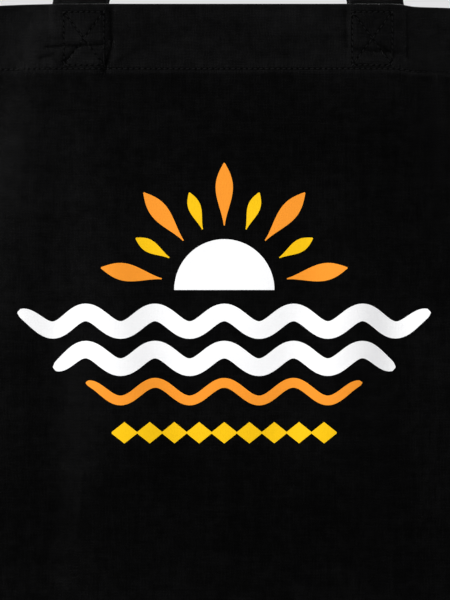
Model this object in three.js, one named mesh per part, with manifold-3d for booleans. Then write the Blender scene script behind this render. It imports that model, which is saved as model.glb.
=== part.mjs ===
// A cotton tote bag with two long handles, hanging with both handles over one peg.
// Units are millimetres, +Z is up and the printed front faces -Y.
// The origin is the hang point: between the two handles, at the underside of their highest place.
import * as THREE from "three";
import { mergeVertices } from "three/addons/utils/BufferGeometryUtils.js";
import Module from "manifold-3d";

const wasm = await Module();
wasm.setup();

// Driving dimensions
const BAG_WIDTH = 380; // flat, from side seam to side seam
const BAG_HEIGHT = 420; // along the cloth, from the top edge to the bottom seam
const CLOTH = 0.8; // one layer of canvas
const GAP = 0.3; // air between two layers that touch
const MOUTH_DEPTH = 23.5; // from the middle plane to the cloth, at the middle of the mouth
const BELLY_DEPTH = 29; // the same, where the bag is fullest
const BELLY_PLACE = 0.6; // share of the height at which it is fullest
const TAPER_PLACE = 0.3; // share of the height below which it narrows to the bottom seam
const TAPER_POWER = 5; // how blunt that narrowing is
const ROUND_POWER = 2.6; // how full the cloth is from side to side
const HEM_DEPTH = 35; // the turned-in band round the mouth
const HEM_HALF = 180; // from the centre line to the end of the band's inner layer
const STITCH_DOWN = 32.8; // from the top edge to the hem's stitch line
const STITCH_HALF = 184; // from the centre line to the end of the stitch line
const SEAM_ALLOWANCE = 8; // cloth beyond the side and bottom stitches, inside the bag
const SEAM_INSET = 6; // from the bag's rim to the allowance, where the bag is deep enough for it
const SEAM_THICK = 1.2; // its two layers, pressed
const SIDE_SEAM_TOP = 36; // from the top edge, just below the hem
const SIDE_SEAM_BOTTOM = 378; // from the top edge, above the bottom corners
const BOTTOM_SEAM_WIDTH = 304; // between the bottom corners
const STRAP_WIDTH = 28;
const STRAP_THICK = 2;
const STRAP_SPACING = 154.4; // between the middles of one handle's two ends, on the flat bag
const STRAP_SEWN = 32; // length of each end, sewn inside the hem
const STRAP_LEG = 311; // from the hem to the peg, on each side
const TWIST_MARGIN = 0.06; // share of each leg, at both its ends, that doesn't turn
const PEG_RADIUS = 16;
const HANDLE_SPACE = 1.2; // between the two handles on the peg
const BOX_WIDTH = 20.6; // the stitched box and cross that holds a strap's end
const BOX_HEIGHT = 27.2;
const BOX_DOWN = 3.8; // from the top edge to the box
const BOX_INWARD = 2.7; // from the strap's middle line to the box's, towards the bag's centre line
const THREAD_WIDTH = 0.9;
const THREAD_THICK = 0.5;
const FILM = 0.3; // thickness of the printed ink
const PRINT_DOWN = 153; // from the top edge to the print's centre
const PRINT_ACROSS = -2; // from the bag's centre line to the print's centre

// The soft folds that the hanging cloth takes up, alike at left and right: the place of each, how far
// it reaches across and down, and the share by which it makes the bag fuller or flatter there
const FOLDS = [
  { across: 165, down: 3, wide: 30, high: 33, share: 1.2 }, // the mouth's corners stand open
  { across: 160, down: 100, wide: 38, high: 92, share: -0.5 }, // the cloth falls in beside the handles
  { across: 93, down: 270, wide: 38, high: 116, share: -0.2 },
  { across: 19, down: 250, wide: 38, high: 155, share: -0.2 },
];

// How finely shapes are divided
const COLUMN = BAG_WIDTH / 36; // between the lines of the cloth's grid, across
const ROW = BAG_HEIGHT / 40; // and down
const SLIVER = 1.5; // no grid line comes nearer than this to a piece's edge
const SLOPE_STEP = 0.5; // over which the cloth's slope is measured
const RISE_STEPS = 24; // in the length of a line down the cloth
const HANDLE_STATIONS = 56;

// Colours, roughness and metalness
function finish(color, roughness) {
  return new THREE.MeshStandardMaterial({ color, roughness, metalness: 0 });
}
const canvas = finish(0x0e0e0f, 0.9);
const lining = finish(0x111112, 0.9);
const webbing = finish(0x131314, 0.85);
const thread = finish(0x1b1b1e, 0.6);
const whiteInk = finish(0xffffff, 0.55);
const orangeInk = finish(0xff9c32, 0.55);
const yellowInk = finish(0xffcc00, 0.55);

// Half the bag's depth, before the folds, at its centre line. v runs from the top edge down as 0 to 1.
function middleDepth(v) {
  const fill = THREE.MathUtils.smoothstep(v, 0, BELLY_PLACE);
  const taper = Math.max(0, (v - TAPER_PLACE) / (1 - TAPER_PLACE));
  return THREE.MathUtils.lerp(MOUTH_DEPTH, BELLY_DEPTH, fill) * (1 - taper ** TAPER_POWER);
}

// Half the bag's depth at a place on the flat cloth
function depthAt(across, down) {
  const round = 1 - Math.abs(across / (BAG_WIDTH / 2)) ** ROUND_POWER;
  let depth = middleDepth(down / BAG_HEIGHT) * round;
  for (const fold of FOLDS) {
    const x = (Math.abs(across) - fold.across) / fold.wide;
    const y = (down - fold.down) / fold.high;
    depth *= 1 + fold.share * Math.exp(-x * x - y * y);
  }
  return depth;
}

// Canvas doesn't stretch, so its fullness draws the side seams in and the bottom up
function drawnIn(v) {
  return (4 * middleDepth(v) ** 2) / (3 * BAG_WIDTH);
}
function drawnUp(across, down) {
  const run = down / RISE_STEPS;
  let total = 0;
  for (let i = 0; i < RISE_STEPS && down > 0; i++) {
    const slope = (depthAt(across, (i + 1) * run) - depthAt(across, i * run)) / run;
    total += 0.5 * slope * slope * run;
  }
  return total;
}

// The handle's route lies in a plane across the bag: a straight leg, half a turn over the peg, and a leg
const bend = PEG_RADIUS + STRAP_THICK / 2;
const foot = (STRAP_SPACING / 2) * (1 - drawnIn(0) / (BAG_WIDTH / 2));
const reach = Math.hypot(STRAP_LEG, bend);
const lean = Math.asin(foot / reach) - Math.asin(bend / reach);
const topZ = -PEG_RADIUS - Math.sqrt(reach ** 2 - foot ** 2); // the height of the bag's top edge

// A point on the middle of the front cloth, from its flat place: across from the centre line, down
// from the top edge
function clothPoint(across, down) {
  const x = across * (1 - drawnIn(down / BAG_HEIGHT) / (BAG_WIDTH / 2));
  const y = -(CLOTH + GAP) / 2 - depthAt(across, down);
  return new THREE.Vector3(x, y, topZ - down + drawnUp(across, down));
}

// The same point moved outward by `out`, square to the cloth
function frontPoint(across, down, out) {
  const limit = BAG_WIDTH / 2 - SLOPE_STEP;
  const a = THREE.MathUtils.clamp(across, -limit, limit);
  const d = THREE.MathUtils.clamp(down, SLOPE_STEP, BAG_HEIGHT - SLOPE_STEP);
  const alongX = clothPoint(a + SLOPE_STEP, d).sub(clothPoint(a - SLOPE_STEP, d));
  const alongZ = clothPoint(a, d - SLOPE_STEP).sub(clothPoint(a, d + SLOPE_STEP));
  const outward = alongX.cross(alongZ).normalize();
  return clothPoint(across, down).addScaledVector(outward, out);
}

// Puts each point of a flat geometry where `place` says
function shaped(geometry, place) {
  const position = geometry.attributes.position;
  for (let i = 0; i < position.count; i++) {
    const to = place(position.getX(i), position.getY(i), position.getZ(i));
    position.setXYZ(i, to.x, to.y, to.z);
  }
  geometry.computeVertexNormals();
  return geometry;
}

// The lines of the cloth's grid that a piece crosses, with its own two edges. All layers share them,
// so the flat faces of one layer lie along those of the next.
function gridLines(from, to, step) {
  const lines = [from];
  for (let i = Math.ceil((from + SLIVER) / step); i * step < to - SLIVER; i++) {
    lines.push(i * step);
  }
  return [...lines, to];
}

// A rectangle of cloth that follows the front, `out` from the middle of the panel. Its inner side is
// divided along the same diagonals as its outer side, as those of its neighbours are.
function rectangle({ centre = 0, width, top, bottom, thick, out = 0 }) {
  const across = gridLines(centre - width / 2, centre + width / 2, COLUMN);
  const down = gridLines(top, bottom, ROW);
  const columns = across.length - 1;
  const rows = down.length - 1;
  const flat = new THREE.BoxGeometry(1, 1, thick, columns, rows, 1);
  const index = flat.index.array;
  const inner = flat.groups[5];
  for (let i = inner.start; i < inner.start + inner.count; i += 6) {
    index[i + 2] = index[i + 4];
    index[i + 3] = index[i];
  }
  return shaped(flat, (x, y, z) => {
    const column = Math.round((x + 0.5) * columns);
    const row = Math.round((0.5 - y) * rows);
    return frontPoint(across[column], down[row], out + z);
  });
}

// Offsets of the layers from the middle of the panel
const facingOut = -(CLOTH + GAP);
const strapOut = facingOut - CLOTH / 2 - GAP - STRAP_THICK / 2;
const threadOut = CLOTH / 2 + GAP + THREAD_THICK / 2;
const inkOut = CLOTH / 2 + GAP + FILM / 2;

function panel() {
  return rectangle({ width: BAG_WIDTH, top: 0, bottom: BAG_HEIGHT, thick: CLOTH });
}

function hemFacing() {
  return rectangle({ width: 2 * HEM_HALF, top: 0, bottom: HEM_DEPTH, thick: CLOTH, out: facingOut });
}

function hemStitch() {
  const top = STITCH_DOWN - THREAD_WIDTH / 2;
  const bottom = STITCH_DOWN + THREAD_WIDTH / 2;
  return rectangle({ width: 2 * STITCH_HALF, top, bottom, thick: THREAD_THICK, out: threadOut });
}

function strapEnd(side) {
  const centre = (side * STRAP_SPACING) / 2;
  const size = { width: STRAP_WIDTH, top: 0, bottom: STRAP_SEWN, thick: STRAP_THICK };
  return rectangle({ centre, out: strapOut, ...size });
}

// Joins overlapping closed geometries into one
function joined(geometries) {
  const solids = geometries.map((geometry) => {
    geometry.deleteAttribute("normal");
    geometry.deleteAttribute("uv");
    const merged = mergeVertices(geometry);
    const vertProperties = merged.attributes.position.array;
    const triVerts = Uint32Array.from(merged.index.array);
    return new wasm.Manifold(new wasm.Mesh({ numProp: 3, vertProperties, triVerts }));
  });
  const { vertProperties, triVerts } = solids.reduce((whole, next) => whole.add(next)).getMesh();
  const geometry = new THREE.BufferGeometry();
  geometry.setAttribute("position", new THREE.BufferAttribute(vertProperties, 3));
  geometry.setIndex(new THREE.BufferAttribute(triVerts, 1));
  return geometry;
}

// A box with a cross in it, in one line of thread
function boxStitch(side) {
  const wide = BOX_WIDTH - THREAD_WIDTH;
  const high = BOX_HEIGHT - THREAD_WIDTH;
  const line = (length, angle, x, y) => {
    const bar = new THREE.BoxGeometry(length, THREAD_WIDTH, THREAD_THICK);
    return bar.rotateZ(angle).translate(x, y, 0);
  };
  const lines = [];
  for (const s of [-1, 1]) {
    lines.push(line(BOX_WIDTH, 0, 0, (s * high) / 2));
    lines.push(line(BOX_HEIGHT, Math.PI / 2, (s * wide) / 2, 0));
    lines.push(line(Math.hypot(wide, high), s * Math.atan2(high, wide), 0, 0));
  }
  const centre = side * (STRAP_SPACING / 2 - BOX_INWARD);
  const middle = BOX_DOWN + BOX_HEIGHT / 2;
  return shaped(joined(lines), (x, y, z) => frontPoint(centre + x, middle - y, threadOut + z));
}

// The seam allowances stand in the bag's middle plane
function seamAllowance(width, height, centreAcross, centreDown) {
  const columns = Math.max(1, Math.round(width / COLUMN));
  const rows = Math.max(1, Math.round(height / ROW));
  const flat = new THREE.BoxGeometry(width, height, SEAM_THICK, columns, rows, 1);
  return shaped(flat, (x, y, z) => clothPoint(centreAcross + x, centreDown - y).setY(-z));
}

function sideSeam(side) {
  const height = SIDE_SEAM_BOTTOM - SIDE_SEAM_TOP;
  const across = side * (BAG_WIDTH / 2 - SEAM_INSET - SEAM_ALLOWANCE / 2);
  return seamAllowance(SEAM_ALLOWANCE, height, across, SIDE_SEAM_TOP + height / 2);
}

function bottomSeam() {
  const down = BAG_HEIGHT - SEAM_INSET - SEAM_ALLOWANCE / 2;
  return seamAllowance(BOTTOM_SEAM_WIDTH, SEAM_ALLOWANCE, 0, down);
}

// A handle is one strap. Its width lies along the hem at its ends and along the peg at the top,
// so each leg makes a quarter of a turn.
const arc = bend * (Math.PI / 2 - lean);
const halfLength = STRAP_LEG + arc;
const footPoint = frontPoint(-STRAP_SPACING / 2, 0, strapOut);
const pegY = -(HANDLE_SPACE + STRAP_WIDTH) / 2;
const hemInner = frontPoint((STRAP_WIDTH - STRAP_SPACING) / 2, 0, 0);
const hemOuter = frontPoint((-STRAP_WIDTH - STRAP_SPACING) / 2, 0, 0);
const hemTurn = Math.atan2(hemInner.y - hemOuter.y, hemInner.x - hemOuter.x);
function handlePoint(share, across, out) {
  const mirror = share > 0.5 ? -1 : 1;
  const along = (share > 0.5 ? 1 - share : share) * 2 * halfLength;
  const onPeg = Math.max(0, along - STRAP_LEG) / bend;
  const angle = lean + onPeg;
  const ease = THREE.MathUtils.smoothstep(along / STRAP_LEG, TWIST_MARGIN, 1 - TWIST_MARGIN);
  const turn = THREE.MathUtils.lerp(hemTurn, Math.PI / 2, ease);
  const point = new THREE.Vector3(-bend * Math.cos(angle), 0, bend * Math.sin(angle) - PEG_RADIUS);
  const below = Math.max(0, STRAP_LEG - along);
  point.x -= below * Math.sin(lean);
  point.z -= below * Math.cos(lean);
  point.y = THREE.MathUtils.lerp(footPoint.y, pegY, THREE.MathUtils.smoothstep(along, 0, STRAP_LEG));
  const forward = new THREE.Vector3(Math.sin(angle), 0, Math.cos(angle));
  const wide = new THREE.Vector3(Math.cos(turn), Math.sin(turn), 0);
  const outward = forward.cross(wide).normalize();
  point.addScaledVector(wide, across).addScaledVector(outward, out);
  point.x *= mirror;
  return point;
}

function handle() {
  const gapShare = GAP / (2 * halfLength);
  const flat = new THREE.BoxGeometry(1 - 2 * gapShare, STRAP_WIDTH, STRAP_THICK, HANDLE_STATIONS, 2, 1);
  return shaped(flat, (x, y, z) => handlePoint(x + 0.5, y, z));
}

// A printed shape is a band of ink between two edges, each a function of t from 0 to 1
const TIP = 0.3; // half the width of a pointed or rounded end
function inkBand(steps, rows, lower, upper) {
  const flat = new THREE.BoxGeometry(1, 1, FILM, steps, rows, 1);
  return shaped(flat, (x, y, z) => {
    const low = lower(x + 0.5);
    const high = upper(x + 0.5);
    const across = THREE.MathUtils.lerp(low[0], high[0], y + 0.5);
    const up = THREE.MathUtils.lerp(low[1], high[1], y + 0.5);
    return frontPoint(PRINT_ACROSS + across, PRINT_DOWN - up, inkOut + z);
  });
}

const SUN_RADIUS = 26;
const SUN_SPAN = 0.999; // the share of the radius that is drawn, which leaves its two ends a height
const HORIZON = 7; // height of the sun's flat side above the print's centre
function sun() {
  const x = (t) => -SUN_RADIUS * SUN_SPAN * Math.cos(Math.PI * t);
  const height = (t) => Math.sqrt(SUN_RADIUS ** 2 - x(t) ** 2);
  return inkBand(16, 3, (t) => [x(t), HORIZON], (t) => [x(t), HORIZON + height(t)]);
}

const RAYS = 9;
const RAY_START = 33;
const RAY_FULLEST = 1.4; // 1 puts a ray's widest place halfway, and more moves it outward
const LONG_RAY = { end: 65, width: 9 };
const SHORT_RAY = { end: 53, width: 6.5 };
function ray(index) {
  const { end, width } = index % 2 ? SHORT_RAY : LONG_RAY;
  const angle = (Math.PI * (index + 0.5)) / RAYS;
  const right = -Math.cos(angle);
  const up = Math.sin(angle);
  const edge = (side) => (t) => {
    const r = THREE.MathUtils.lerp(RAY_START, end, t);
    const half = side * (TIP + (width / 2 - TIP) * Math.sin(Math.PI * t ** RAY_FULLEST));
    return [r * right - half * up, HORIZON + r * up + half * right];
  };
  return inkBand(6, 1, edge(-1), edge(1));
}

// Waves, from the top one down
const WAVE_LENGTH = 36;
const WAVE_SWING = 4.5;
const WAVE_BLUNTNESS = 16; // how late a wave's ends begin to round off
const WAVES = [
  { width: 216, middle: -9, thick: 9, ink: whiteInk },
  { width: 180, middle: -28, thick: 9, ink: whiteInk },
  { width: 144, middle: -45, thick: 5, ink: orangeInk },
];
function wave({ width, middle, thick }) {
  const turns = (2 * Math.PI) / WAVE_LENGTH;
  const edge = (side) => (t) => {
    const x = (t - 0.5) * width;
    const full = Math.sqrt(1 - Math.abs(2 * t - 1) ** WAVE_BLUNTNESS);
    const half = side * (TIP + (thick / 2 - TIP) * full);
    const slope = -WAVE_SWING * turns * Math.sin(turns * x);
    const level = Math.hypot(1, slope);
    return [x - (half * slope) / level, middle + WAVE_SWING * Math.cos(turns * x) + half / level];
  };
  return inkBand(Math.round(width / 3), 1, edge(-1), edge(1));
}

const DIAMONDS = 9;
const DIAMOND = { width: 13, height: 11, middle: -66, neck: 0.8 };
function diamondChain() {
  const width = DIAMONDS * DIAMOND.width;
  const edge = (side) => (t) => {
    // 1 between two diamonds, 0 at a diamond's middle
    const phase = Math.abs(2 * ((t * DIAMONDS) % 1) - 1);
    const half = THREE.MathUtils.lerp(DIAMOND.height, DIAMOND.neck, phase) / 2;
    return [(t - 0.5) * width, DIAMOND.middle + side * half];
  };
  return inkBand(2 * DIAMONDS, 1, edge(-1), edge(1));
}

// The assembly: the front as made, and the back as the front turned half round
const bag = new THREE.Group();
const front = new THREE.Group();
const back = new THREE.Group();
back.rotation.z = Math.PI;
bag.add(front, back);
function piece(name, geometry, material, parent = front) {
  const mesh = new THREE.Mesh(geometry, material);
  mesh.name = name;
  parent.add(mesh);
}

for (const [name, half] of [["front", front], ["back", back]]) {
  piece(`${name}_panel`, panel(), canvas, half);
  piece(`${name}_hem_facing`, hemFacing(), lining, half);
  piece(`${name}_hem_stitch`, hemStitch(), thread, half);
  piece(`${name}_handle`, handle(), webbing, half);
  for (const [place, side] of [["left", -1], ["right", 1]]) {
    piece(`${name}_strap_end_${place}`, strapEnd(side), webbing, half);
    piece(`${name}_box_stitch_${place}`, boxStitch(side), thread, half);
  }
}
for (const [place, side] of [["left", -1], ["right", 1]]) {
  piece(`side_seam_${place}`, sideSeam(side), lining);
}
piece("bottom_seam", bottomSeam(), lining);

piece("print_sun", sun(), whiteInk);
for (let i = 0; i < RAYS; i++) {
  piece(`print_ray_${i + 1}`, ray(i), i % 2 ? yellowInk : orangeInk);
}
for (const [i, row] of WAVES.entries()) {
  piece(`print_wave_${i + 1}`, wave(row), row.ink);
}
piece("print_diamonds", diamondChain(), yellowInk);

export default bag;
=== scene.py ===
"""A black cotton tote bag with a printed front, hanging by its two long handles."""

import math

import bmesh
import bpy
import numpy as np
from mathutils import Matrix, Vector


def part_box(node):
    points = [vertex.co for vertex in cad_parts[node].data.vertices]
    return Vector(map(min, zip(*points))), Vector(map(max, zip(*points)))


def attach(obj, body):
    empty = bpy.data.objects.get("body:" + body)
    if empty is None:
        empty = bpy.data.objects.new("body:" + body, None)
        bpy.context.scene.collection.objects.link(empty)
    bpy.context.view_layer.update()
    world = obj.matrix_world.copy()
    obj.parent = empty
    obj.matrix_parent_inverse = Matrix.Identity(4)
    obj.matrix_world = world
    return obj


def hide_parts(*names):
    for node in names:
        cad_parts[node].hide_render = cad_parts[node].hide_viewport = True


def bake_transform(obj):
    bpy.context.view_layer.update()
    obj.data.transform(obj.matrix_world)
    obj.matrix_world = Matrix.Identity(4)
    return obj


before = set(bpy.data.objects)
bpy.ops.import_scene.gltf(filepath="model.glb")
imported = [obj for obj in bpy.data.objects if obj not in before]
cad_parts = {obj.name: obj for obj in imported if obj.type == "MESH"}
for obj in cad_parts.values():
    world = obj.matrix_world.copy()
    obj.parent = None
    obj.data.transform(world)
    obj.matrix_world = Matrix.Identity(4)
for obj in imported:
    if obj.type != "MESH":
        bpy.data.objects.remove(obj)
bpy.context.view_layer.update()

# The draped cloth
# The bag is two panels of black canvas, sewn together down the sides and along the bottom. A cloth
# simulation hangs them from the four places where the handles are sewn on, and all that is sewn or
# printed on the bag later takes its place from the draped cloth.
MM = 0.001
panel_low, panel_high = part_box("front_panel")
BAG_WIDTH = round(panel_high[0] - panel_low[0], 4)
BAG_HEIGHT = round(panel_high[2] - panel_low[2], 4)
TOP_Z = panel_high[2]
CLOTH = 0.8 * MM  # one layer of canvas
MOUTH_DEPTH = 23.5 * MM  # from the middle plane to the cloth, at the middle of the mouth
BELLY_DEPTH = 29 * MM  # the same, where the bag is fullest
BELLY_PLACE = 0.5  # share of the height at which it is fullest
TAPER_PLACE = 0.42  # share of the height below which it narrows to the bottom seam
TAPER_POWER = 2.4  # how blunt that narrowing is
ROUND_POWER = 2.6  # how full the cloth is from side to side
HEM_DEPTH = 35 * MM
STRAP_WIDTH = 28 * MM
STRAP_SPACING = 154.4 * MM  # between the middles of one handle's two ends
STRAP_SEWN = 32 * MM  # length of each end inside the hem
FRONT, BACK = -1, 1
COLUMNS, ROWS = 64, 70
RISE_STEPS = 24  # in the length of a line down the cloth
SEAM_HOLD = 0.05  # how firmly the seams keep their shape while the cloth falls
DRAPE_FRAMES = 40
MOST_MOVE = 13 * MM  # the most that the draping may move a point
HEM_SAG = 1.4 * MM  # how much lower the front's hem hangs beside the right strap
SAG_START, SAG_RAMP = 90 * MM, 6 * MM  # across: where the sag starts, and over what width
SAG_END, SAG_FADE = 165 * MM, 50 * MM  # across: where it ends, and over what width
SAG_DOWN, SAG_DOWN_FADE = 110 * MM, 70 * MM  # down: the same


def smooth(t):
    """An eased step from 0 to 1."""
    t = np.clip(t, 0, 1)
    return t * t * (3 - 2 * t)


def bulge(u, v):
    """Half the bag's depth: u from seam to seam as -1 to 1, v from the top edge down as 0 to 1."""
    taper = np.clip((v - TAPER_PLACE) / (1 - TAPER_PLACE), 0, 1)
    middle = MOUTH_DEPTH + (BELLY_DEPTH - MOUTH_DEPTH) * smooth(v / BELLY_PLACE)
    return middle * (1 - taper ** TAPER_POWER) * (1 - np.abs(u) ** ROUND_POWER)


def before_draping(side, across, down):
    """Where a place on the flat panel stands before gravity acts. Canvas doesn't stretch, so the
    bulge draws the side seams in and the bottom up."""
    u = across / (BAG_WIDTH / 2)
    v = down / BAG_HEIGHT
    drawn_in = 4 * bulge(0 * v, v) ** 2 / (3 * BAG_WIDTH)
    drawn_up = 0 * v
    for i in range(RISE_STEPS):
        rise = bulge(u, (i + 1) * v / RISE_STEPS) - bulge(u, i * v / RISE_STEPS)
        drawn_up += 0.5 * rise ** 2 / np.maximum(down / RISE_STEPS, 1e-9)
    x = across * (1 - drawn_in / (BAG_WIDTH / 2))
    return np.stack([x, side * bulge(u, v), TOP_Z - down + drawn_up], axis=-1)


def drape():
    """The two panels' points after hanging, as one array of columns by rows for each side."""
    across, down = np.meshgrid(
        np.linspace(-BAG_WIDTH / 2, BAG_WIDTH / 2, COLUMNS + 1),
        np.linspace(0, BAG_HEIGHT, ROWS + 1),
        indexing="ij",
    )
    start = {side: before_draping(side, across, down) for side in (FRONT, BACK)}
    seam = (np.abs(across) > BAG_WIDTH / 2 - MM) | (down > BAG_HEIGHT - MM)
    number = {FRONT: np.arange(across.size).reshape(across.shape)}
    number[BACK] = np.where(seam, number[FRONT], across.size + np.cumsum(~seam).reshape(seam.shape) - 1)
    points = np.concatenate([start[FRONT].reshape(-1, 3), start[BACK][~seam]])
    faces = []
    for side in (FRONT, BACK):
        n = number[side]
        corners = [n[:-1, :-1], n[:-1, 1:], n[1:, 1:], n[1:, :-1]]
        faces.append(np.stack(corners[:: -side], axis=-1).reshape(-1, 4))
    mesh = bpy.data.meshes.new("hanging_cloth")
    mesh.from_pydata(points.tolist(), [], np.concatenate(faces).tolist())
    cloth = bpy.data.objects.new("hanging_cloth", mesh)
    bpy.context.scene.collection.objects.link(cloth)

    # the sewn straps carry the bag, the seams keep a little of their shape, and the hem is stiff
    sewn = (np.abs(np.abs(across) - STRAP_SPACING / 2) < STRAP_WIDTH / 2 + MM) & (down <= STRAP_SEWN)
    held = cloth.vertex_groups.new(name="held")
    stiff = cloth.vertex_groups.new(name="stiff")
    for side in (FRONT, BACK):
        held.add(number[side][seam].tolist(), SEAM_HOLD, "REPLACE")
        held.add(number[side][sewn].tolist(), 1.0, "REPLACE")
        stiff.add(number[side][down < HEM_DEPTH + 2 * MM].tolist(), 1.0, "REPLACE")
    modifier = cloth.modifiers.new("drape", "CLOTH")
    modifier.point_cache.frame_start = 1
    modifier.point_cache.frame_end = DRAPE_FRAMES
    modifier.collision_settings.use_collision = False
    settings = modifier.settings
    settings.quality = 6
    settings.mass = 0.02
    settings.tension_stiffness = settings.compression_stiffness = 60
    settings.shear_stiffness = 10
    settings.tension_damping = settings.compression_damping = settings.shear_damping = 5
    settings.bending_stiffness = 1.5
    settings.bending_stiffness_max = 5
    settings.vertex_group_bending = "stiff"
    settings.air_damping = 2
    settings.use_pressure = True
    settings.uniform_pressure_force = 0.05
    settings.vertex_group_mass = "held"
    for number_of_frame in range(1, DRAPE_FRAMES + 1):
        bpy.context.scene.frame_set(number_of_frame)
    evaluated = cloth.evaluated_get(bpy.context.evaluated_depsgraph_get())
    ends = np.empty(len(points) * 3)
    evaluated.data.vertices.foreach_get("co", ends)
    bpy.context.scene.frame_set(1)
    bpy.data.objects.remove(cloth)
    moved = ends.reshape(-1, 3) - points
    length = np.linalg.norm(moved, axis=1, keepdims=True)
    points = points + moved * np.minimum(1, MOST_MOVE / np.maximum(length, 1e-9))
    hung = {side: points[number[side]] for side in (FRONT, BACK)}

    # the front's hem sags beside the right strap, which holds it up
    sag = HEM_SAG * smooth((across - SAG_START) / SAG_RAMP) * smooth((SAG_END - across) / SAG_FADE)
    hung[FRONT][..., 2] -= sag * smooth((SAG_DOWN - down) / SAG_DOWN_FADE)
    return hung


def weights(f):
    """The weights of a lattice's four nearest points on a smooth curve, and how fast they change."""
    value = [(1 - f) ** 3, 3 * f ** 3 - 6 * f ** 2 + 4, -3 * f ** 3 + 3 * f ** 2 + 3 * f + 1, f ** 3]
    slope = [-((1 - f) ** 2), 3 * f ** 2 - 4 * f, -3 * f ** 2 + 2 * f + 1, f ** 2]
    return np.stack(value, axis=-1) / 6, np.stack(slope, axis=-1) / 2


def spline(lattice, s, t):
    """The smooth sheet through a lattice at (s, t), counted in its steps, and its two slopes."""
    i = np.clip(np.floor(s).astype(int), 0, lattice.shape[0] - 4)
    j = np.clip(np.floor(t).astype(int), 0, lattice.shape[1] - 4)
    value_s, slope_s = weights(s - i)
    value_t, slope_t = weights(t - j)
    near = lattice[i[..., None, None] + np.arange(4)[:, None], j[..., None, None] + np.arange(4)]
    join = "...a,...b,...abk->...k"
    return (
        np.einsum(join, value_s, value_t, near),
        np.einsum(join, slope_s, value_t, near),
        np.einsum(join, value_s, slope_t, near),
    )


def extended(lattice):
    """The lattice with one more row on every side, so that the sheet reaches its rim."""
    for axis in (0, 1):
        rows = np.moveaxis(lattice, axis, 0)
        rows = np.concatenate([2 * rows[:1] - rows[1:2], rows, 2 * rows[-1:] - rows[-2:-1]])
        lattice = np.moveaxis(rows, 0, axis)
    return lattice


draped = drape()
for side in (FRONT, BACK):
    draped[side][..., 1] += side * CLOTH / 2
    draped[side] = extended(draped[side])

# Folds, creases and puckers
# Cotton canvas keeps the creases it was packed with, each line of stitches draws it in, and what is
# sewn behind it shows through as a ridge. These heights are added to the draped cloth, square to it.
HEM_STITCH_DOWN = 32.8 * MM  # from the top edge to the hem's stitch line
BOX_WIDTH = 20.6 * MM  # the stitched box and cross that holds a strap's end
BOX_HEIGHT = 27.2 * MM
BOX_DOWN = 3.8 * MM
BOX_INWARD = 2.7 * MM  # from the strap's middle line to the box's, towards the bag's centre line
BOX_ACROSS = STRAP_SPACING / 2 - BOX_INWARD
ALLOWANCE = 8 * MM  # cloth beyond the seams' stitches, inside the bag
SEAM_HELD = 5 * MM  # from a seam to where the cloth is free to pucker
GROOVE_WIDTH = 0.9 * MM
GROOVE_DEPTH = 0.4 * MM
BACK_SHIFT = 13 * MM  # between the front's wrinkles and the back's
# the height of each kind of wrinkle, of what is sewn behind the cloth, and of the puckers
WIDE_WRINKLE = 0.5 * MM
SMALL_WRINKLE = 0.16 * MM
HEM_RIDGE = 0.35 * MM
CORNER_RIDGE = 0.7 * MM
STRAP_RIDGE = 0.6 * MM
ALLOWANCE_RIDGE = 0.45 * MM
HEM_PUCKER = 0.7 * MM
SEAM_PUCKER = 0.5 * MM
PUCKER_REACH = 9 * MM
# each crease on the front: its start and end, across and down, its depth and its width
CREASES = [
    ((-94, 21.5), (-65, 20.5), 1.3, 1.4),
    ((-97, 27), (-90, 25.5), 0.9, 1.3),
    ((-92, 17.5), (-86, 17), 0.6, 1.1),
    ((-61, 3), (-60.5, 20), 1.0, 2.4),
    ((-60.5, 20), (-64, 34), 1.9, 2.0),
    ((-58, 30), (-50, 24), 0.5, 1.8),
    ((66, 23), (76, 23.5), 0.8, 1.5),
    ((78, 20), (86, 26), 0.9, 1.5),
    ((77, 24), (88, 24.5), 0.6, 1.4),
    ((-76, 21), (-86, 30), 0.9, 1.2),
    ((92, 5), (92.5, 26), 0.7, 2.0),
    ((60.5, 3), (61, 22), 0.6, 1.6),
]
# each hollow on the front: its place, across and down, its depth, and its width and height
HOLLOWS = [
    ((-41, 5), 0.7, 9, 7),
    ((-34, 19), 0.7, 15, 5),
    ((33, 18), 0.8, 28, 5),
    ((-22, 54), 1.6, 30, 17),
    ((30, 66), -1.0, 34, 20),
    ((106, 98), 2.6, 42, 40),
    ((98, 282), 2.6, 46, 38),
    ((-60, 250), -1.0, 60, 48),
    ((-104, 150), -1.4, 34, 60),
]


def random_field(seed, step_across, step_down):
    """A smooth random height over the flat cloth, about -1 to 1, with bumps of that size."""
    shape = (math.ceil(BAG_WIDTH / step_across) + 4, math.ceil(BAG_HEIGHT / step_down) + 4, 1)
    lattice = np.random.default_rng(seed).uniform(-1.8, 1.8, shape)

    def height(across, down):
        s = (across + BAG_WIDTH / 2) / step_across
        t = np.maximum(down, 0) / step_down
        return spline(lattice, s, t)[0][..., 0]
    return height


wide_wrinkle = random_field(11, 34 * MM, 46 * MM)
small_wrinkle = random_field(12, 13 * MM, 17 * MM)
hem_pucker = random_field(13, 5 * MM, 12 * MM)
seam_pucker = random_field(14, 12 * MM, 6 * MM)


def ridge(distance, width):
    """1 on a line, and easing to 0 beyond that distance from it."""
    return np.exp(-((distance / width) ** 2))


def from_segment(across, down, start, end):
    """How far a place is from a straight line between two places, given in millimetres."""
    start, end = np.array(start) * MM, np.array(end) * MM
    run = end - start
    t = np.clip(((across - start[0]) * run[0] + (down - start[1]) * run[1]) / (run @ run), 0, 1)
    return np.hypot(across - start[0] - t * run[0], down - start[1] - t * run[1])


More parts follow.
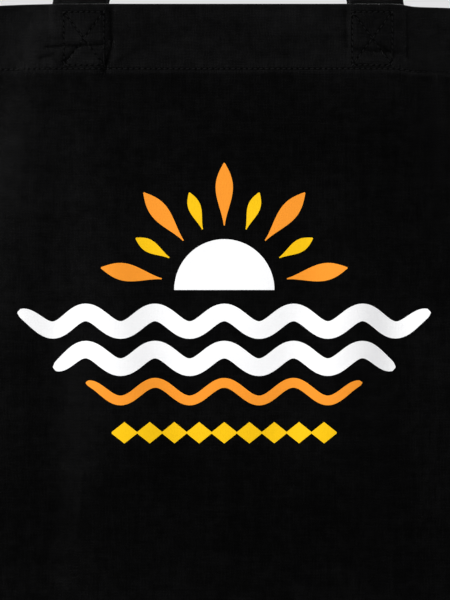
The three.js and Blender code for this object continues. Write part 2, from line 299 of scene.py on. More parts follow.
def from_box_stitch(across, down):
    """How far a place is from the stitched box and cross over the nearest strap's end."""
    x = np.abs(np.abs(across) - BOX_ACROSS)
    y = np.abs(down - BOX_DOWN - BOX_HEIGHT / 2)
    beyond = np.maximum(x - BOX_WIDTH / 2, y - BOX_HEIGHT / 2)
    cross = np.abs(x * BOX_HEIGHT - y * BOX_WIDTH) / math.hypot(BOX_WIDTH, BOX_HEIGHT)
    return np.where(beyond < 0, np.minimum(cross, -beyond), beyond)


def layers(across, down):
    """1 on the hem and 0 below it, and how far a place is from the nearest seam and strap's edge."""
    in_hem = smooth((HEM_DEPTH + MM - down) / (2 * MM))
    from_seam = np.minimum(BAG_WIDTH / 2 - np.abs(across), BAG_HEIGHT - down)
    from_strap = np.abs(np.abs(across) - STRAP_SPACING / 2) - STRAP_WIDTH / 2
    return in_hem, from_seam, from_strap


def relief(side, across, down):
    """The height of the folds, ridges and puckers."""
    in_hem, from_seam, from_strap = layers(across, down)
    from_side = BAG_WIDTH / 2 - np.abs(across)
    shift = 0 if side == FRONT else BACK_SHIFT
    height = WIDE_WRINKLE * wide_wrinkle(across + shift, down)
    height += SMALL_WRINKLE * small_wrinkle(across, down + shift)
    height *= smooth((down - 4 * MM) / (40 * MM))
    if side == FRONT:
        for (x, y), depth, wide, high in HOLLOWS:
            height -= depth * MM * ridge(np.hypot((across / MM - x) / wide, (down / MM - y) / high), 1)
        for start, end, depth, wide in CREASES:
            height -= depth * MM * ridge(from_segment(across, down, start, end), wide * MM)

    # two layers at the hem, more at its corners, the straps behind it, and the seams' edges inside
    height += HEM_RIDGE * in_hem
    corner = CORNER_RIDGE * in_hem * smooth(from_side / (2.5 * MM))
    height += corner * smooth((14 * MM - from_side) / (10 * MM))
    over_strap = smooth(0.5 - from_strap / (3 * MM)) * smooth((STRAP_SEWN + MM - down) / (2 * MM))
    height += STRAP_RIDGE * over_strap
    over_allowance = smooth(from_seam / (1.5 * MM)) * smooth((ALLOWANCE + 3 * MM - from_seam) / (3 * MM))
    height += ALLOWANCE_RIDGE * over_allowance * (1 - in_hem)

    # each line of stitches draws the cloth in
    from_hem_line = np.abs(down - HEM_STITCH_DOWN)
    height += HEM_PUCKER * hem_pucker(across, down) * ridge(from_hem_line, PUCKER_REACH)
    height += SEAM_PUCKER * seam_pucker(across, down) * ridge(from_seam, PUCKER_REACH)
    height -= GROOVE_DEPTH * ridge(from_hem_line, GROOVE_WIDTH)
    height -= GROOVE_DEPTH * ridge(from_box_stitch(across, down), GROOVE_WIDTH)

    # at the seams the two panels are sewn together
    return height * smooth(from_seam / SEAM_HELD)


def on_cloth(side, across, down, out=0.0):
    """Points on a panel `out` from its middle, and the outward directions there."""
    across, down, out = np.broadcast_arrays(*(np.asarray(v, float) for v in (across, down, out)))
    s = (across / BAG_WIDTH + 0.5) * COLUMNS
    t = down / BAG_HEIGHT * ROWS
    point, along_across, along_down = spline(draped[side], s, t)
    outward = np.cross(along_across, along_down) * side
    outward /= np.linalg.norm(outward, axis=-1, keepdims=True)
    return point + outward * (relief(side, across, down) + out)[..., None], outward


# The canvas
# A plain weave of black cotton: each thread goes over one and under the next, and threads differ a
# little in thickness and shade. The weave is a node group that the straps, inks and seams use too.
CANVAS_PITCH = 0.75 * MM
GROOVE_SHADE = 0.8 * MM  # from a line of stitches to where the cloth isn't darker any more
PUCKER_SHADE = 6 * MM  # and to where the small puckers beside it end


def add(tree, kind, inputs=None, **settings):
    """A new node, with its settings and with a value or a link for each input."""
    node = tree.nodes.new(kind)
    for name, value in settings.items():
        setattr(node, name, value)
    for name, value in (inputs or {}).items():
        if isinstance(value, bpy.types.NodeSocket):
            tree.links.new(value, node.inputs[name])
        else:
            node.inputs[name].default_value = value
    return node


def calc(tree, operation, *values):
    """The result of a Math node."""
    return add(tree, "ShaderNodeMath", dict(enumerate(values)), operation=operation).outputs[0]


def stretched(tree, vector, by):
    """A vector times another."""
    return add(tree, "ShaderNodeVectorMath", {0: vector, 1: by}, operation="MULTIPLY").outputs[0]


def noise(tree, vector, scale, detail=2.0, roughness=0.5):
    """The value of a Noise Texture node."""
    inputs = {"Vector": vector, "Scale": scale, "Detail": detail, "Roughness": roughness}
    return add(tree, "ShaderNodeTexNoise", inputs).outputs["Fac"]


def blend_values(tree, factor, low, high):
    """The value between low and high at a factor from 0 to 1."""
    return add(tree, "ShaderNodeMix", {0: factor, 2: low, 3: high}, data_type="FLOAT").outputs[0]


def blend_colours(tree, factor, low, high):
    """The colour between low and high at a factor from 0 to 1."""
    return add(tree, "ShaderNodeMix", {0: factor, 6: low, 7: high}, data_type="RGBA").outputs[2]


def bumped(tree, height, strength, distance):
    """The normal that a height gives."""
    inputs = {"Height": height, "Strength": strength, "Distance": distance}
    return add(tree, "ShaderNodeBump", inputs).outputs[0]


def scaled(tree, vector, by):
    """A vector times a number."""
    return add(tree, "ShaderNodeVectorMath", {0: vector, "Scale": by}, operation="SCALE").outputs[0]


def grey(value):
    """A very slightly cool grey."""
    return (value, value, value * 1.03, 1)


def start_group(name, kind, inputs, outputs):
    """An empty node group, the outputs of its entry and the inputs of its exit."""
    group = bpy.data.node_groups.new(name, kind)
    for in_out, sockets in (("INPUT", inputs), ("OUTPUT", outputs)):
        for socket, holds in sockets.items():
            group.interface.new_socket(socket, in_out=in_out, socket_type=f"NodeSocket{holds}")
    return group, group.nodes.new("NodeGroupInput").outputs, group.nodes.new("NodeGroupOutput").inputs


def plain_weave():
    """The weave group: the height of the threads and their differing shades."""
    inputs = {"Place": "Vector", "Pitch": "Float", "Waviness": "Float"}
    outputs = {"Height": "Float", "Shade": "Float"}
    group, entry, leave = start_group("plain_weave", "ShaderNodeTree", inputs, outputs)
    counted = scaled(group, entry["Place"], calc(group, "DIVIDE", 1.0, entry["Pitch"]))
    drifting = {"Vector": counted, "Scale": 0.11, "Detail": 1.0}
    drift = add(group, "ShaderNodeTexNoise", drifting).outputs["Color"]
    to_middle = {0: drift, 1: (0.5, 0.5, 0.5)}
    centred = add(group, "ShaderNodeVectorMath", to_middle, operation="SUBTRACT").outputs[0]
    shift = scaled(group, centred, entry["Waviness"])
    place = add(group, "ShaderNodeVectorMath", {0: counted, 1: shift}, operation="ADD").outputs[0]

    split = add(group, "ShaderNodeSeparateXYZ", {0: place}).outputs
    humps = [calc(group, "SINE", calc(group, "MULTIPLY", split[axis], math.pi)) for axis in (0, 1)]
    over = calc(group, "GREATER_THAN", calc(group, "MULTIPLY", *humps), 0.0)
    warp, weft = (calc(group, "ABSOLUTE", hump) for hump in humps)
    heights = [
        calc(group, "MULTIPLY", calc(group, "POWER", across, 0.7), calc(group, "POWER", along, 0.35))
        for across, along in ((weft, warp), (warp, weft))
    ]
    shades = [
        noise(group, stretched(group, place, stretch), 1.0, 2.0, 0.6)
        for stretch in ((0.035, 0.9, 1.0), (0.9, 0.035, 1.0))
    ]
    height = blend_values(group, over, *heights)
    shade = blend_values(group, over, *shades)
    thickness = calc(group, "MULTIPLY_ADD", shade, 0.9, 0.55)
    group.links.new(calc(group, "MULTIPLY", height, thickness), leave["Height"])
    lit = calc(group, "MULTIPLY_ADD", height, 0.5, 0.5)
    group.links.new(calc(group, "MULTIPLY", shade, lit), leave["Shade"])
    return group


WEAVE = plain_weave()


def stitched_lines():
    """The group for the lines of stitches on a panel: 1 in the groove that the thread pulls the cloth
    into, and the height of the small puckers beside it."""
    outputs = {"Groove": "Float", "Pucker": "Float"}
    group, entry, leave = start_group("stitched_lines", "ShaderNodeTree", {"Place": "Vector"}, outputs)
    place = entry["Place"]

    def distance(value, target):
        return calc(group, "ABSOLUTE", calc(group, "SUBTRACT", value, target))

    split = add(group, "ShaderNodeSeparateXYZ", {0: place}).outputs
    from_hem_line = distance(split[1], HEM_STITCH_DOWN)
    x = distance(calc(group, "ABSOLUTE", split[0]), BOX_ACROSS)
    y = distance(split[1], BOX_DOWN + BOX_HEIGHT / 2)
    beyond = calc(
        group, "MAXIMUM",
        calc(group, "SUBTRACT", x, BOX_WIDTH / 2),
        calc(group, "SUBTRACT", y, BOX_HEIGHT / 2),
    )
    diagonal = math.hypot(BOX_WIDTH, BOX_HEIGHT)
    cross = distance(
        calc(group, "MULTIPLY", x, BOX_HEIGHT / diagonal),
        calc(group, "MULTIPLY", y, BOX_WIDTH / diagonal),
    )
    outside_box = calc(group, "GREATER_THAN", beyond, 0.0)
    from_cross = calc(group, "ADD", cross, outside_box)
    from_box = calc(group, "MINIMUM", from_cross, calc(group, "ABSOLUTE", beyond))
    from_line = calc(group, "MINIMUM", from_hem_line, from_box)

    def near(width):
        inputs = {"Value": from_line, "From Min": 0.0, "From Max": width, "To Min": 1.0, "To Max": 0.0}
        return add(group, "ShaderNodeMapRange", inputs, interpolation_type="SMOOTHSTEP").outputs[0]

    group.links.new(near(GROOVE_SHADE), leave["Groove"])
    gathered = noise(group, stretched(group, place, (600.0, 150.0, 1.0)), 1.0)
    group.links.new(calc(group, "MULTIPLY", gathered, near(PUCKER_SHADE)), leave["Pucker"])
    return group


def woven(tree, place, pitch, waviness):
    """The outputs of the weave group, placed in a material."""
    node = add(tree, "ShaderNodeGroup", node_tree=WEAVE)
    tree.links.new(place, node.inputs["Place"])
    node.inputs["Pitch"].default_value = pitch
    node.inputs["Waviness"].default_value = waviness
    return node.outputs


def start_material(name):
    """A material with only its surface shader, its node tree, and that shader's inputs."""
    material = bpy.data.materials.new(name)
    material.use_nodes = True
    return material, material.node_tree, material.node_tree.nodes["Principled BSDF"].inputs


def flat_place(tree):
    """The place on the flat cloth, in metres."""
    return add(tree, "ShaderNodeAttribute", attribute_name="flat").outputs["Vector"]


def cotton(name, dark, light, worn, pitch, stretch, bump, stitched=None):
    """Black woven cotton that greys a little where it is rubbed. `stitched` is the group for the
    lines of stitches, if the cloth has them."""
    material, tree, shader = start_material(name)
    flat = flat_place(tree)
    weave = woven(tree, stretched(tree, flat, stretch), pitch, 2.0)
    dye = noise(tree, flat, 18.0, 4.0, 0.6)
    mottle = noise(tree, flat, 150.0, 5.0, 0.75)
    shade = calc(tree, "MULTIPLY_ADD", weave["Shade"], 2.2, -0.55)
    shade = calc(tree, "MULTIPLY_ADD", calc(tree, "SUBTRACT", mottle, 0.5), 1.9, shade)
    amount = calc(tree, "MULTIPLY_ADD", calc(tree, "SUBTRACT", dye, 0.5), 1.3, shade)
    wear = add(tree, "ShaderNodeAttribute", attribute_name="wear").outputs["Fac"]
    rubbed = calc(tree, "MULTIPLY", wear, calc(tree, "MULTIPLY_ADD", weave["Height"], 0.7, 0.2))
    uneven = calc(tree, "MULTIPLY_ADD", calc(tree, "ADD", mottle, dye), 1.8, -0.8)
    rubbed = calc(tree, "MULTIPLY", rubbed, calc(tree, "MAXIMUM", uneven, 0.0))
    fuzz = noise(tree, flat, 2600.0)
    height = calc(tree, "MULTIPLY_ADD", fuzz, 0.35, weave["Height"])
    if stitched:
        sewn = add(tree, "ShaderNodeGroup", node_tree=stitched)
        tree.links.new(flat, sewn.inputs["Place"])
        amount = calc(tree, "MULTIPLY_ADD", sewn.outputs["Groove"], -1.0, amount)
        rubbed = calc(tree, "MULTIPLY_ADD", sewn.outputs["Groove"], -0.4, rubbed)
        height = calc(tree, "MULTIPLY_ADD", sewn.outputs["Groove"], -1.2, height)
        height = calc(tree, "MULTIPLY_ADD", sewn.outputs["Pucker"], 3.5, height)
    colour = blend_colours(tree, rubbed, blend_colours(tree, amount, grey(dark), grey(light)), grey(worn))
    tree.links.new(colour, shader["Base Color"])
    tree.links.new(calc(tree, "MULTIPLY_ADD", dye, 0.12, 0.84), shader["Roughness"])
    shader["Specular IOR Level"].default_value = 0.02
    shader["Sheen Weight"].default_value = 0.4
    shader["Sheen Roughness"].default_value = 0.25
    tree.links.new(bumped(tree, height, 0.9, bump), shader["Normal"])
    return material


CANVAS = cotton(
    "black_canvas", dark=0.0002, light=0.0024, worn=0.015,
    pitch=CANVAS_PITCH, stretch=(1, 1, 1), bump=0.24 * MM, stitched=stitched_lines(),
)

# The front and back panels
# Each is one piece of canvas. Its top edge is turned in and runs down inside as the hem's facing,
# and its sides and bottom end in the seams.
FOLD_RADIUS = 0.55 * MM
FOLD_STEPS = 6
GRID_STEP = 2.6 * MM
FINE_STEP = 0.9 * MM


def grid_lines(low, high, fine_places, fine_half):
    """Grid lines from low to high, closer together within fine_half of each of fine_places."""
    lines = [low]
    while lines[-1] < high - FINE_STEP / 2:
        fine = min(abs(lines[-1] - place) for place in fine_places) < fine_half
        lines.append(lines[-1] + (FINE_STEP if fine else GRID_STEP))
    return np.array(lines[:-1] + [high])


def mesh_piece(name, points, faces, flat, wear, material):
    """A smooth piece with its place on the flat cloth and its wear as attributes."""
    mesh = bpy.data.meshes.new(name)
    mesh.from_pydata(points.reshape(-1, 3).tolist(), [], faces)
    flat_values = np.broadcast_to(flat, points.shape).reshape(-1)
    wear_values = np.broadcast_to(wear, points.shape[:-1]).reshape(-1)
    mesh.attributes.new("flat", "FLOAT_VECTOR", "POINT").data.foreach_set("vector", flat_values)
    mesh.attributes.new("wear", "FLOAT", "POINT").data.foreach_set("value", wear_values)
    mesh.shade_smooth()
    mesh.materials.append(material)
    piece = bpy.data.objects.new(name, mesh)
    bpy.context.scene.collection.objects.link(piece)
    return piece


def sheet_piece(name, points, flat, wear, material, turned):
    """A sheet over an array of points, facing its outer side."""
    columns, rows = points.shape[:2]
    number = np.arange(columns * rows).reshape(columns, rows)
    corners = [number[:-1, :-1], number[1:, :-1], number[1:, 1:], number[:-1, 1:]]
    faces = np.stack(corners[::-1] if turned else corners, axis=-1).reshape(-1, 4).tolist()
    return mesh_piece(name, points, faces, flat, wear, material)


def thicken(piece, thickness, offset):
    """Gives a sheet its thickness: offset 0 on both sides, -1 below its outer face."""
    solidify = piece.modifiers.new("thickness", "SOLIDIFY")
    solidify.thickness = thickness
    solidify.offset = offset


# how rubbed the cloth is: everywhere, on the hem, along the seams and over the straps' edges
BASE_WEAR = 0.08
HEM_WEAR = 0.2
SEAM_WEAR = 0.3
STRAP_EDGE_WEAR = 0.05
CREASE_SHADE = 0.3  # how much less inside a crease, for each millimetre of its depth
# each patch that is paler or darker: its place, across and down, by how much, its width and height
PATCHES = [
    ((-95, 100), 0.085, 62, 90),
    ((-33, 43), -0.07, 24, 15),
    ((14, 64), -0.04, 46, 24),
    ((94, 88), -0.08, 42, 40),
    ((90, 266), -0.08, 46, 42),
    ((0, 270), -0.08, 60, 36),
    ((-90, 265), -0.05, 50, 40),
    ((-43, 10), -0.12, 6, 12),
    ((-38, 20), -0.08, 12, 8),
    ((31, 21), -0.16, 26, 7),
]


def wear_of(side, across, down):
    """Where the cloth is paler: the hem, the seams and what is rubbed over the straps, but not inside
    a crease. The rest varies in broad patches."""
    in_hem, from_seam, from_strap = layers(across, down)
    wear = BASE_WEAR + HEM_WEAR * in_hem + SEAM_WEAR * ridge(from_seam, 1.6 * MM)
    wear += STRAP_EDGE_WEAR * in_hem * ridge(from_strap, 1.4 * MM)
    for (x, y), amount, wide, high in PATCHES:
        wear += amount * ridge(np.hypot((-side * across / MM - x) / wide, (down / MM - y) / high), 1)
    if side == FRONT:
        for start, end, depth, wide in CREASES:
            wear -= CREASE_SHADE * depth * ridge(from_segment(across, down, start, end), 0.8 * wide * MM)
    return np.clip(wear, 0, 1)


strap_places = (-STRAP_SPACING / 2, STRAP_SPACING / 2)
columns = grid_lines(-BAG_WIDTH / 2, BAG_WIDTH / 2, strap_places, 0.8 * STRAP_WIDTH)
body_rows = grid_lines(FOLD_RADIUS, BAG_HEIGHT, [0], HEM_DEPTH + 3 * MM)[::-1]
facing_rows = grid_lines(FOLD_RADIUS, HEM_DEPTH, [HEM_DEPTH], 3 * MM)
turn = np.linspace(0, math.pi, FOLD_STEPS + 1)[1:-1]
row_down = np.concatenate([body_rows, FOLD_RADIUS * (1 - np.sin(turn)), facing_rows])
row_out = np.concatenate([0 * body_rows, FOLD_RADIUS * (np.cos(turn) - 1), 0 * facing_rows - 2 * FOLD_RADIUS])
across, down = np.meshgrid(columns, row_down, indexing="ij")
room = smooth((BAG_WIDTH / 2 - np.abs(across)) / SEAM_HELD)
for side, name in ((FRONT, "front"), (BACK, "back")):
    points, _ = on_cloth(side, across, down, row_out * room)
    # the facing stays on its own side of the bag's middle plane
    least_depth = np.where(row_out < -FOLD_RADIUS, CLOTH / 2, -1.0)
    points[..., 1] = side * np.maximum(side * points[..., 1], least_depth)
    flat = np.stack([across, down, np.full_like(across, side)], axis=-1)
    wear = wear_of(side, across, down)
    panel = sheet_piece(f"{name}_canvas", points, flat, wear, CANVAS, turned=side == BACK)
    thicken(panel, CLOTH, 0)
    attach(panel, "bag")
    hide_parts(f"{name}_panel", f"{name}_hem_facing")

# The handles
# Each is one length of black cotton webbing, ribbed across, with its ends sewn inside the hem. It
# leaves the hem flat, turns a quarter of the way round on each leg, and lies flat over a peg.
STRAP_THICK = 2 * MM
STRAP_LEG = 311 * MM  # from the top edge to the bend over the peg
PEG_RADIUS = 16 * MM
HANDLE_SPACE = 1.2 * MM  # between the two handles over the peg
LAYER_GAP = 0.3 * MM  # between a strap's end and the hem's facing
HEM_REACH = 60 * MM  # above the top edge, where a leg no longer follows how the hem hangs
TURN_MARGIN = 0.06  # share of a leg at each end that doesn't turn
SQUARE_REACH = 40 * MM  # above the top edge, where a leg's width is square to its length
EDGE_ROUND = 0.8 * MM
RIM_WIDTH = 0.6 * MM
RIM_WEAR = 0.8
RIB_PITCH = 1.3 * MM
RIB_HEIGHT = 0.09 * MM
CUP = 0.3 * MM  # how far the webbing's edges curl up
SWAY = 0.7 * MM  # the most that each of its waves goes in and out
FREE_START = 50 * MM  # above the top edge, where it does both fully
STRAP_OUT = -2 * FOLD_RADIUS - CLOTH / 2 - LAYER_GAP - STRAP_THICK / 2
BEND = PEG_RADIUS + STRAP_THICK / 2
FOOT = STRAP_SPACING / 2 * (1 - 4 * MOUTH_DEPTH ** 2 / (3 * BAG_WIDTH) / (BAG_WIDTH / 2))
REACH = math.hypot(STRAP_LEG, BEND)
LEAN = math.asin(FOOT / REACH) - math.asin(BEND / REACH)
HALF_LENGTH = STRAP_LEG + BEND * (math.pi / 2 - LEAN)


def lerp(low, high, t):
    """The value between low and high at t from 0 to 1."""
    return low + (high - low) * t


def unit(vectors):
    """The same directions with a length of 1."""
    return vectors / np.linalg.norm(vectors, axis=-1, keepdims=True)


def strap_leg(side, leg, along):
    """One leg of a handle: its middle line, the direction of its width and that of its face, at each
    distance from the hem, which is negative where it is sewn in. leg is -1 at the left, 1 at the right."""
    across = leg * STRAP_SPACING / 2
    sewn_down = np.clip(-along, FOLD_RADIUS, STRAP_SEWN)
    middle, outward = on_cloth(side, across, sewn_down, STRAP_OUT)
    left, _ = on_cloth(side, across - STRAP_WIDTH / 2, sewn_down, STRAP_OUT)
    right, _ = on_cloth(side, across + STRAP_WIDTH / 2, sewn_down, STRAP_OUT)
    hem_wide = -leg * unit(right - left)

    up = np.maximum(along, 0)[:, None]
    near_hem = 1 - smooth(up / HEM_REACH)
    angle = LEAN + np.maximum(up - STRAP_LEG, 0) / BEND
    below = np.maximum(STRAP_LEG - up, 0)
    x = leg * (BEND * np.cos(angle) + below * math.sin(LEAN)) + (middle[:, :1] - leg * FOOT) * near_hem
    y = lerp(middle[:, 1:2], side * (HANDLE_SPACE + STRAP_WIDTH) / 2, smooth(up / STRAP_LEG))
    z = BEND * np.sin(angle) - PEG_RADIUS - below * math.cos(LEAN) + (middle[:, 2:] - TOP_Z) * near_hem
    free = np.concatenate([x, y, z], axis=1)
    hem_turn = np.arctan2(-side * hem_wide[:, 1:2], -leg * hem_wide[:, :1])
    turned = smooth((up / STRAP_LEG - TURN_MARGIN) / (1 - 2 * TURN_MARGIN))
    turn = lerp(hem_turn, math.pi / 2, turned)
    free_wide = np.concatenate([-leg * np.cos(turn), -side * np.sin(turn), 0 * turn], axis=1)
    forward = np.concatenate([-leg * np.sin(angle), 0 * angle, np.cos(angle)], axis=1)
    skew = np.sum(free_wide * forward, axis=1, keepdims=True) * smooth(up / SQUARE_REACH)
    free_wide = unit(free_wide - skew * forward)
    free_face = leg * side * unit(np.cross(forward, free_wide))

    sewn = along[:, None] < 0
    in_hem = (middle, hem_wide, -outward)
    above = (free, free_wide, free_face)
    return [np.where(sewn, low, high) for low, high in zip(in_hem, above)]


def strap_section():
    """The outline of the webbing, across its width and through its thickness, with round edges."""
    flat_half = STRAP_WIDTH / 2 - EDGE_ROUND
    half = [(w, STRAP_THICK / 2) for w in np.linspace(-flat_half, flat_half, 7)]
    for angle in np.radians([30, 60, 90, 120, 150]):
        half.append((flat_half + EDGE_ROUND * math.sin(angle), STRAP_THICK / 2 * math.cos(angle)))
    return np.array(half + [(-w, -n) for w, n in half])


def tube_piece(name, rings, flat, wear, material):
    """A closed piece through rings of points, each ring clockwise as seen from the next one."""
    count = rings.shape[1]
    number = np.arange(rings.shape[0] * count).reshape(-1, count)
    wrapped = np.concatenate([number, number[:, :1]], axis=1)
    corners = [wrapped[:-1, :-1], wrapped[1:, :-1], wrapped[1:, 1:], wrapped[:-1, 1:]]
    faces = np.stack(corners, axis=-1).reshape(-1, 4).tolist()
    faces += [number[0].tolist(), number[-1][::-1].tolist()]
    return mesh_piece(name, rings, faces, flat, wear, material)


WEBBING = cotton(
    "black_webbing", dark=0.0020, light=0.0080, worn=0.016,
    pitch=1.0 * MM, stretch=(1 / 1.3, 1.9, 1), bump=0.12 * MM,
)
section = strap_section()
edge_wear = RIM_WEAR * (np.abs(section[:, 0]) > STRAP_WIDTH / 2 - RIM_WIDTH)
half_stations = np.arange(-STRAP_SEWN, HALF_LENGTH - RIB_PITCH / 4, RIB_PITCH / 2)
along = np.concatenate([half_stations, 2 * HALF_LENGTH - half_stations[::-1]])[:, None]
free = smooth(np.minimum(along, 2 * HALF_LENGTH - along) / FREE_START)
rib = RIB_HEIGHT * (-1.0) ** np.arange(len(along))[:, None]
for side, name in ((FRONT, "front"), (BACK, "back")):
    first, second = (strap_leg(side, leg, half_stations) for leg in (side, -side))
    middle, wide, face = (np.concatenate([a, b[::-1]]) for a, b in zip(first, second))
    waves = np.random.default_rng(20 + side).uniform(-1, 1, (3, 2))
    sway = sum(w * np.sin(2 * math.pi * (along / (0.11 + 0.05 * k) + p)) for k, (w, p) in enumerate(waves))
    cup = free * (CUP * (section[:, 0] / (STRAP_WIDTH / 2)) ** 2 + SWAY * sway)
    through = section[:, 1] + rib * np.sign(section[:, 1]) + cup
    rings = middle[:, None] + section[:, :1] * wide[:, None] + through[..., None] * face[:, None]
    flat = np.stack(np.broadcast_arrays(along, section[:, 0], 0 * along), axis=-1)
    webbing = tube_piece(f"{name}_webbing", rings, flat, edge_wear, WEBBING)
    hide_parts(f"{name}_handle", f"{name}_strap_end_left", f"{name}_strap_end_right")
    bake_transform(webbing)

# The stitches
# Black polyester thread in lock stitches: one line round the hem, and a box with a cross through
# each end of the straps. They show on the outside of the bag and again on the inside.
THREAD_WIDTH = 0.55 * MM
THREAD_HEIGHT = 0.42 * MM
STITCH_PITCH = 2.9 * MM
STITCH_LENGTH = 2.35 * MM
STITCH_SLANT = math.radians(6)
PATH_STEP = 1 * MM
HEM_STITCH_HALF = 187.5 * MM


def stitch_tree():
    """Stitches along lines: each is a bead of thread that lies on the line, square to `away`."""
    sizes = {socket: "Float" for socket in ("Pitch", "Length", "Width", "Height", "Slant")}
    inputs = {"Geometry": "Geometry", **sizes, "Seed": "Int", "Thread": "Material"}
    outputs = {"Geometry": "Geometry"}
    tree, entry, leave = start_group("stitches_along_a_line", "GeometryNodeTree", inputs, outputs)

    curve = add(tree, "GeometryNodeMeshToCurve", {"Mesh": entry["Geometry"]}).outputs[0]
    spaced = {"Curve": curve, "Length": entry["Pitch"]}
    places = add(tree, "GeometryNodeResampleCurve", spaced, mode="LENGTH").outputs[0]
    away = add(tree, "GeometryNodeInputNamedAttribute", {"Name": "away"}, data_type="FLOAT_VECTOR").outputs[0]
    tangent = add(tree, "GeometryNodeInputTangent").outputs[0]
    axes = {"Primary Axis": away, "Secondary Axis": tangent}
    lying = add(tree, "FunctionNodeAxesToRotation", axes, primary_axis="Z", secondary_axis="X").outputs[0]
    range_of_slant = {2: -0.06, 3: 0.06, "Seed": entry["Seed"]}
    spread = add(tree, "FunctionNodeRandomValue", range_of_slant, data_type="FLOAT").outputs[1]
    angle = calc(tree, "ADD", entry["Slant"], spread)
    spin = add(tree, "FunctionNodeAxisAngleToRotation", {"Axis": (0, 0, 1), "Angle": angle}).outputs[0]
    both = {"Rotation": lying, "Rotate By": spin}
    turned = add(tree, "FunctionNodeRotateRotation", both, rotation_space="LOCAL").outputs[0]
    measures = {0: entry["Length"], 1: entry["Width"], 2: entry["Height"]}
    size = add(tree, "ShaderNodeCombineXYZ", measures).outputs[0]
    range_of_size = {0: (0.92, 0.88, 0.85), 1: (1.04, 1.06, 1.1), "Seed": entry["Seed"]}
    uneven = add(tree, "FunctionNodeRandomValue", range_of_size, data_type="FLOAT_VECTOR").outputs[0]
    ball = add(tree, "GeometryNodeMeshUVSphere", {"Segments": 8, "Rings": 6, "Radius": 0.5}).outputs["Mesh"]
    bead = add(tree, "GeometryNodeTransform", {"Geometry": ball, "Rotation": (0, math.pi / 2, 0)}).outputs[0]
    inputs = {"Points": places, "Instance": bead, "Rotation": turned, "Scale": stretched(tree, size, uneven)}
    stitches = add(tree, "GeometryNodeInstanceOnPoints", inputs).outputs[0]
    real = add(tree, "GeometryNodeRealizeInstances", {"Geometry": stitches}).outputs[0]
    shaded = add(tree, "GeometryNodeSetShadeSmooth", {"Geometry": real}).outputs[0]
    sewn = add(tree, "GeometryNodeSetMaterial", {"Geometry": shaded, "Material": entry["Thread"]}).outputs[0]
    tree.links.new(sewn, leave["Geometry"])
    return tree


STITCHES = stitch_tree()


def sew(name, lines, **inputs):
    """A piece of stitches along lines, each given as its points and the directions away from the cloth."""
    counts = np.cumsum([0] + [len(points) for points, _ in lines])
    edges = [(i, i + 1) for first, end in zip(counts, counts[1:]) for i in range(first, end - 1)]
    points, away = (np.concatenate(arrays) for arrays in zip(*lines))
    mesh = bpy.data.meshes.new("lines")
    mesh.from_pydata(points.tolist(), edges, [])
    mesh.attributes.new("away", "FLOAT_VECTOR", "POINT").data.foreach_set("vector", away.reshape(-1))
    carrier = bpy.data.objects.new("lines", mesh)
    bpy.context.scene.collection.objects.link(carrier)
    modifier = carrier.modifiers.new("stitches", "NODES")
    modifier.node_group = STITCHES
    for item in STITCHES.interface.items_tree:
        if item.name in inputs:
            modifier[item.identifier] = inputs[item.name]
    evaluated = carrier.evaluated_get(bpy.context.evaluated_depsgraph_get())
    made = bpy.data.meshes.new_from_object(evaluated)
    made.name = name
    bpy.data.objects.remove(carrier)
    piece = bpy.data.objects.new(name, made)
    bpy.context.scene.collection.objects.link(piece)
    return piece


def thread_material():
    """Black polyester thread, a little glossier than the cotton round it."""
    material, tree, shader = start_material("black_thread")
    ply = noise(tree, add(tree, "ShaderNodeTexCoord").outputs["Object"], 3200.0, 1.0)
    tree.links.new(blend_colours(tree, ply, grey(0.002), grey(0.009)), shader["Base Color"])
    tree.links.new(calc(tree, "MULTIPLY_ADD", ply, 0.2, 0.5), shader["Roughness"])
    shader["Specular IOR Level"].default_value = 0.04
    tree.links.new(bumped(tree, ply, 0.5, 0.05 * MM), shader["Normal"])
    return material


THREAD = thread_material()
LOCK_STITCH = {
    "Pitch": STITCH_PITCH,
    "Length": STITCH_LENGTH,
    "Width": THREAD_WIDTH,
    "Height": THREAD_HEIGHT,
    "Slant": STITCH_SLANT,
    "Thread": THREAD,
}


def sewn_line(side, corners, out):
    """A line through places on the flat cloth, `out` from the panel's middle."""
    places = []
    for (x0, y0), (x1, y1) in zip(corners, corners[1:]):
        t = np.arange(0, 1, PATH_STEP / math.hypot(x1 - x0, y1 - y0))
        places.append(np.stack([lerp(x0, x1, t), lerp(y0, y1, t)], axis=-1))
    across, down = np.concatenate(places + [[corners[-1]]]).T
    points, outward = on_cloth(side, across, down, out)
    return points, outward if out > 0 else -outward


def box_lines(centre):
    """A stitched box and its cross, as the corners that two runs of stitches go through."""
    left, right = centre - BOX_WIDTH / 2, centre + BOX_WIDTH / 2
    top, bottom = BOX_DOWN, BOX_DOWN + BOX_HEIGHT
    corners = [(left, top), (right, top), (right, bottom), (left, bottom)]
    return [*corners, corners[0], corners[2]], [corners[1], corners[3]]


OUTSIDE = CLOTH / 2 + 0.12 * THREAD_HEIGHT
INSIDE_HEM = -2 * FOLD_RADIUS - CLOTH / 2
INSIDE_STRAP = STRAP_OUT - STRAP_THICK / 2
for side, name in ((FRONT, "front"), (BACK, "back")):
    hem_line = [(-HEM_STITCH_HALF, HEM_STITCH_DOWN), (HEM_STITCH_HALF, HEM_STITCH_DOWN)]
    lines = [sewn_line(side, hem_line, out) for out in (OUTSIDE, INSIDE_HEM)]
    hem_thread = sew(f"{name}_hem_thread", lines, Seed=31 + side, **LOCK_STITCH)
    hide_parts(f"{name}_hem_stitch")
    lines = [
        sewn_line(side, corners, out)
        for centre in (-BOX_ACROSS, BOX_ACROSS)
        for corners in box_lines(centre)
        for out in (OUTSIDE, INSIDE_STRAP)
    ]
    box_thread = sew(f"{name}_box_thread", lines, Seed=41 + side, **LOCK_STITCH)
    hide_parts(f"{name}_box_stitch_left", f"{name}_box_stitch_right")
    for piece in (hem_thread, box_thread):
        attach(piece, "bag")

